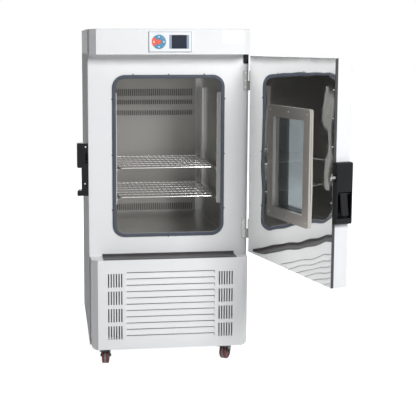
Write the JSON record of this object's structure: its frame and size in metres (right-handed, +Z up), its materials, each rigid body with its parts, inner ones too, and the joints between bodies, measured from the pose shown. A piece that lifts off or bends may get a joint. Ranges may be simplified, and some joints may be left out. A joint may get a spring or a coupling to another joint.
{
  "type": "refrigerated incubator",
  "caption": "Floor-standing chamber cabinet on casters, with a windowed door standing open, wire shelves, a fascia controller and a louvred base.",
  "frame": {"origin": "on the floor under the middle of the cabinet body", "axes": "+X to the user's right, +Y from front to back, +Z up"},
  "size_m": [1.033, 1.4609, 1.53],
  "materials": {
    "white_paint": "satin",
    "grey_frame": "satin",
    "stainless": "satin",
    "mirror_steel": "polished",
    "frame_steel": "satin",
    "wire_steel": "gloss",
    "zinc_steel": "satin",
    "hinge_steel": "satin",
    "seal_rubber": "matte",
    "trim_black": "matte",
    "gutter_black": "satin",
    "handle_black": "satin",
    "bezel_white": "satin",
    "screen_dark": "gloss",
    "key_blue": "satin",
    "key_red": "satin",
    "insulation_foam": "matte",
    "window_clear": "gloss",
    "wheel_maroon": "matte",
    "yoke_green": "satin",
    "exchanger_metal": "satin",
    "compressor_black": "satin",
    "pipe_copper": "satin",
    "fan_grey": "matte",
    "motor_grey": "satin"
  },
  "bodies": {
    "cabinet": {"side_panel_left": "white_paint", "side_panel_right": "white_paint", "back_panel": "white_paint", "top_panel": "white_paint", "top_fascia": "white_paint", "front_frame": "white_paint", "opening_gasket": "seal_rubber", "chamber_liner": "stainless", "insulation": "insulation_foam", "drip_gutter": "gutter_black", "rear_duct_panel": "stainless", "shelf_standards": "stainless", "shelf_runners": "stainless", "evaporator": "exchanger_metal", "air_heater": "zinc_steel", "temperature_probe": "zinc_steel", "fan_motors": "motor_grey", "condenser": "exchanger_metal", "compressor": "compressor_black", "refrigerant_lines": "pipe_copper", "base_frame": "grey_frame", "lower_grille_panel": "white_paint", "controller_bezel": "bezel_white", "controller_display": "screen_dark", "door_switch": "trim_black", "cabinet_hinges": "hinge_steel", "latch_strike": "handle_black", "caster_plates": "zinc_steel", "control_box": "grey_frame", "power_inlet": "trim_black"},
    "door": {"door_outer_skin": "white_paint", "door_foam": "insulation_foam", "door_inner_panel": "mirror_steel", "door_edge_trim": "trim_black", "window_frame_inner": "frame_steel", "window_frame_outer": "frame_steel", "window_glass": "window_clear", "handle_housing": "handle_black", "door_hinges": "hinge_steel"},
    "lever": {"handle_lever": "handle_black"},
    "hook": {"latch_hook": "zinc_steel"},
    "up_key": {"key_up": "key_blue"},
    "down_key": {"key_down": "key_blue"},
    "left_key": {"key_left": "key_red"},
    "right_key": {"key_right": "key_blue"},
    "centre_key": {"key_centre": "key_red"},
    "upper_shelf": {"shelf_upper": "wire_steel"},
    "lower_shelf": {"shelf_lower": "wire_steel"},
    "air_fan": {"circulation_fan": "fan_grey"},
    "cooling_fan": {"condenser_fan": "fan_grey"},
    "fork_front_left": {"caster_fork_front_left": "yoke_green"},
    "wheel_front_left": {"caster_wheel_front_left": "wheel_maroon"},
    "fork_front_right": {"caster_fork_front_right": "yoke_green"},
    "wheel_front_right": {"caster_wheel_front_right": "wheel_maroon"},
    "fork_rear_left": {"caster_fork_rear_left": "yoke_green"},
    "wheel_rear_left": {"caster_wheel_rear_left": "wheel_maroon"},
    "fork_rear_right": {"caster_fork_rear_right": "yoke_green"},
    "wheel_rear_right": {"caster_wheel_rear_right": "wheel_maroon"},
    "pedal_front_left": {"brake_pedal_front_left": "yoke_green"},
    "pedal_front_right": {"brake_pedal_front_right": "yoke_green"}
  },
  "joints": [
    {"name": "door_hinge", "type": "hinge", "parent": "cabinet", "child": "door", "pos_m": [0.368, -0.368, 0.966], "axis": [0, 0, 1], "range_deg": [-105, 15]},
    {"name": "lever_tilt", "type": "hinge", "parent": "door", "child": "lever", "pos_m": [0.58386, -1.07316, 0.895], "axis": [-0.9659, -0.2588, 0], "range_deg": [-10, 0]},
    {"name": "hook_turn", "type": "hinge", "parent": "door", "child": "hook", "pos_m": [0.57279, -1.0782, 0.96], "axis": [-0.2588, 0.9659, 0], "range_deg": [-10, 0]},
    {"name": "up_key_press", "type": "slide", "parent": "cabinet", "child": "up_key", "axis": [0, 1, 0], "range_m": [0, 0.0012], "stiffness_N_per_m": 400},
    {"name": "down_key_press", "type": "slide", "parent": "cabinet", "child": "down_key", "axis": [0, 1, 0], "range_m": [0, 0.0012], "stiffness_N_per_m": 400},
    {"name": "left_key_press", "type": "slide", "parent": "cabinet", "child": "left_key", "axis": [0, 1, 0], "range_m": [0, 0.0012], "stiffness_N_per_m": 400},
    {"name": "right_key_press", "type": "slide", "parent": "cabinet", "child": "right_key", "axis": [0, 1, 0], "range_m": [0, 0.0012], "stiffness_N_per_m": 400},
    {"name": "centre_key_press", "type": "slide", "parent": "cabinet", "child": "centre_key", "axis": [0, 1, 0], "range_m": [0, 0.0012], "stiffness_N_per_m": 400},
    {"name": "upper_shelf_slide", "type": "slide", "parent": "cabinet", "child": "upper_shelf", "axis": [0, -1, 0], "range_m": [0, 0.35]},
    {"name": "lower_shelf_slide", "type": "slide", "parent": "cabinet", "child": "lower_shelf", "axis": [0, -1, 0], "range_m": [0, 0.35]},
    {"name": "air_fan_spin", "type": "hinge", "parent": "cabinet", "child": "air_fan", "pos_m": [0, 0.2055, 0.991], "axis": [0, 1, 0], "continuous": true},
    {"name": "cooling_fan_spin", "type": "hinge", "parent": "cabinet", "child": "cooling_fan", "pos_m": [-0.11, -0.28, 0.276], "axis": [0, 1, 0], "continuous": true},
    {"name": "swivel_front_left", "type": "hinge", "parent": "cabinet", "child": "fork_front_left", "pos_m": [-0.285, -0.3, 0.087], "axis": [0, 0, 1], "continuous": true},
    {"name": "roll_front_left", "type": "hinge", "parent": "fork_front_left", "child": "wheel_front_left", "pos_m": [-0.28862, -0.32575, 0.0375], "axis": [0.9903, -0.1392, 0], "continuous": true},
    {"name": "swivel_front_right", "type": "hinge", "parent": "cabinet", "child": "fork_front_right", "pos_m": [0.285, -0.3, 0.087], "axis": [0, 0, 1], "continuous": true},
    {"name": "roll_front_right", "type": "hinge", "parent": "fork_front_right", "child": "wheel_front_right", "pos_m": [0.27122, -0.32205, 0.0375], "axis": [0.848, -0.5299, 0], "continuous": true},
    {"name": "swivel_rear_left", "type": "hinge", "parent": "cabinet", "child": "fork_rear_left", "pos_m": [-0.285, 0.3, 0.087], "axis": [0, 0, 1], "continuous": true},
    {"name": "roll_rear_left", "type": "hinge", "parent": "fork_rear_left", "child": "wheel_rear_left", "pos_m": [-0.27827, 0.32511, 0.0375], "axis": [-0.9659, 0.2588, 0], "continuous": true},
    {"name": "swivel_rear_right", "type": "hinge", "parent": "cabinet", "child": "fork_rear_right", "pos_m": [0.285, 0.3, 0.087], "axis": [0, 0, 1], "continuous": true},
    {"name": "roll_rear_right", "type": "hinge", "parent": "fork_rear_right", "child": "wheel_rear_right", "pos_m": [0.27959, 0.32543, 0.0375], "axis": [-0.9781, -0.2079, 0], "continuous": true},
    {"name": "brake_front_left", "type": "hinge", "parent": "fork_front_left", "child": "pedal_front_left", "pos_m": [-0.29186, -0.34882, 0.0787], "axis": [0.9903, -0.1392, 0], "range_deg": [-12, 0]},
    {"name": "brake_front_right", "type": "hinge", "parent": "fork_front_right", "child": "pedal_front_right", "pos_m": [0.25888, -0.34181, 0.0787], "axis": [0.848, -0.5299, 0], "range_deg": [-12, 0]}
  ],
  "couplings": [
    {"joint": "hook_turn", "follows": "lever_tilt", "ratio": 1}
  ]
}
